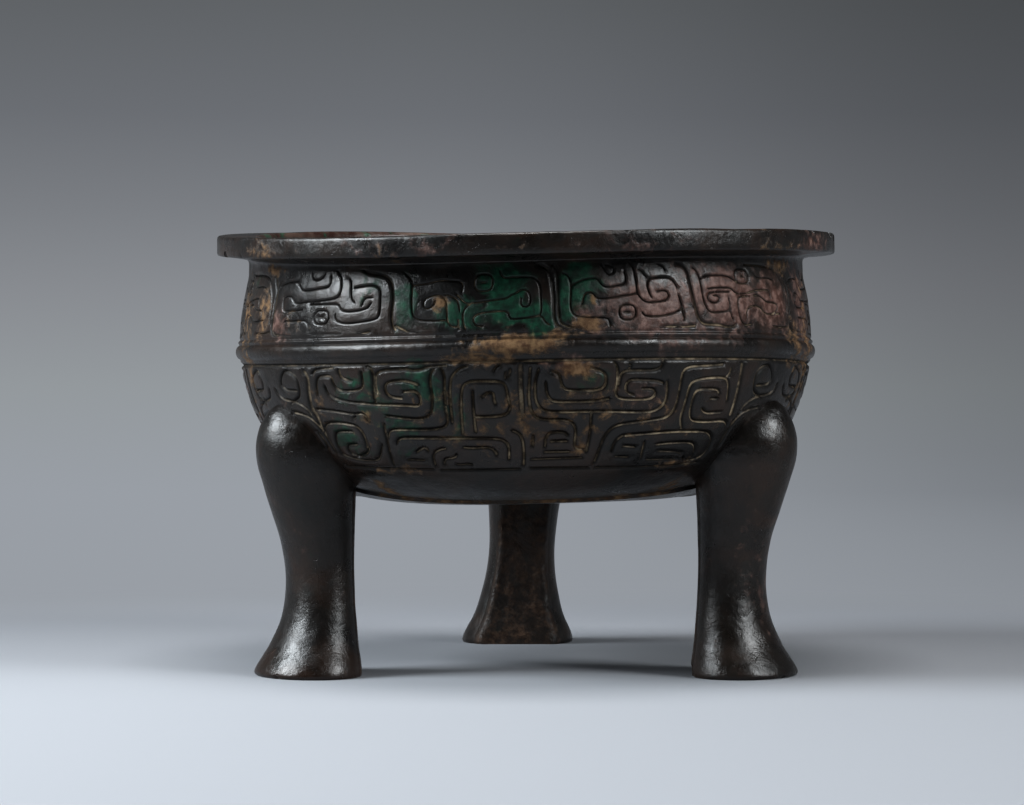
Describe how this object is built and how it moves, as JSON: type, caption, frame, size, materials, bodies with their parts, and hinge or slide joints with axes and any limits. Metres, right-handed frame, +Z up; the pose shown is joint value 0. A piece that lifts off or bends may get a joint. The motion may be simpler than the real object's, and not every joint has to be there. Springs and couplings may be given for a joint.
{
  "type": "bronze li tripod",
  "caption": "Round-bellied bronze tripod vessel with a flat rim, a bowstring fillet between two scroll friezes and cabriole legs.",
  "frame": {"origin": "on the ground under the bowl's axis, in the plane of the feet's undersides", "axes": "+Z up along the bowl's axis, -Y towards the front between two legs, +X to the right seen from the front; one leg points to +Y"},
  "size_m": [0.1756, 0.176, 0.1278],
  "materials": {
    "bronze": "dark brown cast bronze, smooth and half glossy, with green, red and earth-coloured patina"
  },
  "bodies": {
    "root": {"tripod_vessel": "bronze"}
  },
  "joints": []
}
